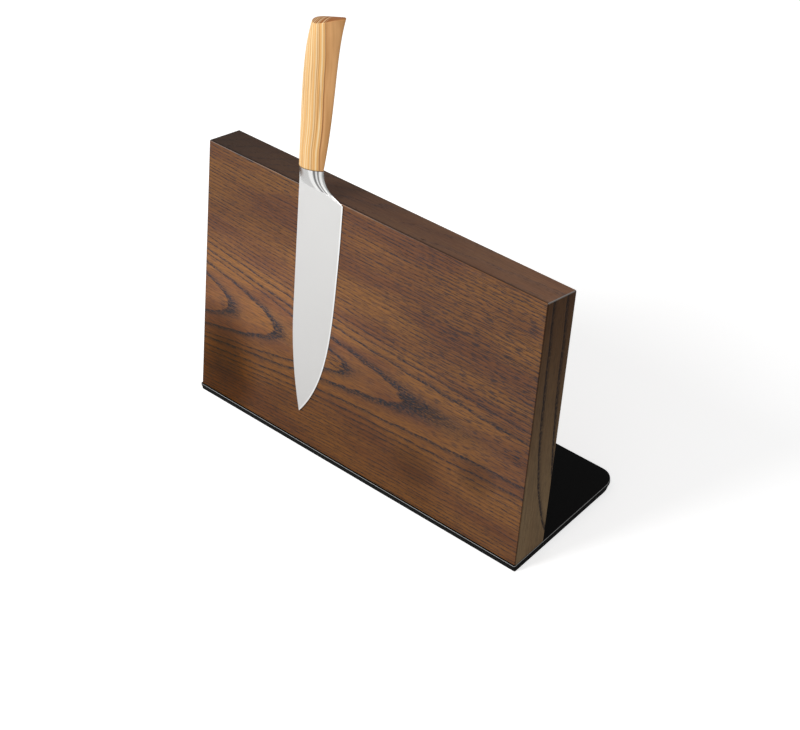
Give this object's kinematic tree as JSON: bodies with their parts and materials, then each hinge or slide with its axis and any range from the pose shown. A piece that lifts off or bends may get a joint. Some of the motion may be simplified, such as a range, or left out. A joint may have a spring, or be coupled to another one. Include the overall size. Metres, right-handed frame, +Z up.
{
  "type": "magnetic knife block with chef's knife",
  "caption": "Leaning magnetic board of dark wood on a black steel foot plate, holding a forged chef's knife with a wooden handle flat on its face.",
  "frame": {"origin": "centre of the anti-slip pad's underside", "axes": "+X to the right along the board's width, +Y to the back, +Z up; the face that holds the knife looks to -Y and leans back"},
  "size_m": [0.351, 0.125, 0.3653],
  "materials": {
    "front_wood": "dark stained and oiled, flat-sawn, grain along the width",
    "rear_wood": "dark stained and oiled, grain along the width",
    "top_wood": "dark stained and oiled, grain along the width",
    "end_wood": "dark stained and oiled, grain up the slope",
    "core_ply": "raw plywood",
    "coated_steel": "black satin powder coat",
    "pad_rubber": "black, matt",
    "screw_steel": "bright zinc",
    "insert_brass": "turned",
    "keeper_steel": "cold rolled",
    "magnet_ferrite": "dark grey sintered ferrite",
    "blade_steel": "satin blade, polished bolster",
    "handle_wood": "oiled, striped yellow-brown"
  },
  "bodies": {
    "stand": {"front_panel": "front_wood", "rear_panel": "rear_wood", "top_edging": "top_wood", "left_edging": "end_wood", "right_edging": "end_wood", "core_board": "core_ply", "base_plate": "coated_steel", "base_pad": "pad_rubber", "base_screws": "screw_steel", "threaded_inserts": "insert_brass", "keeper_strip_lower": "keeper_steel", "magnets_lower": "magnet_ferrite", "keeper_screws_lower": "screw_steel", "keeper_strip_middle": "keeper_steel", "magnets_middle": "magnet_ferrite", "keeper_screws_middle": "screw_steel", "keeper_strip_upper": "keeper_steel", "magnets_upper": "magnet_ferrite", "keeper_screws_upper": "screw_steel"},
    "knife": {"knife_blade": "blade_steel", "knife_handle": "handle_wood"}
  },
  "joints": [
    {"name": "knife_pull_off", "type": "slide", "parent": "stand", "child": "knife", "axis": [0, -0.9703, 0.2419], "range_m": [0, 0.15]}
  ]
}
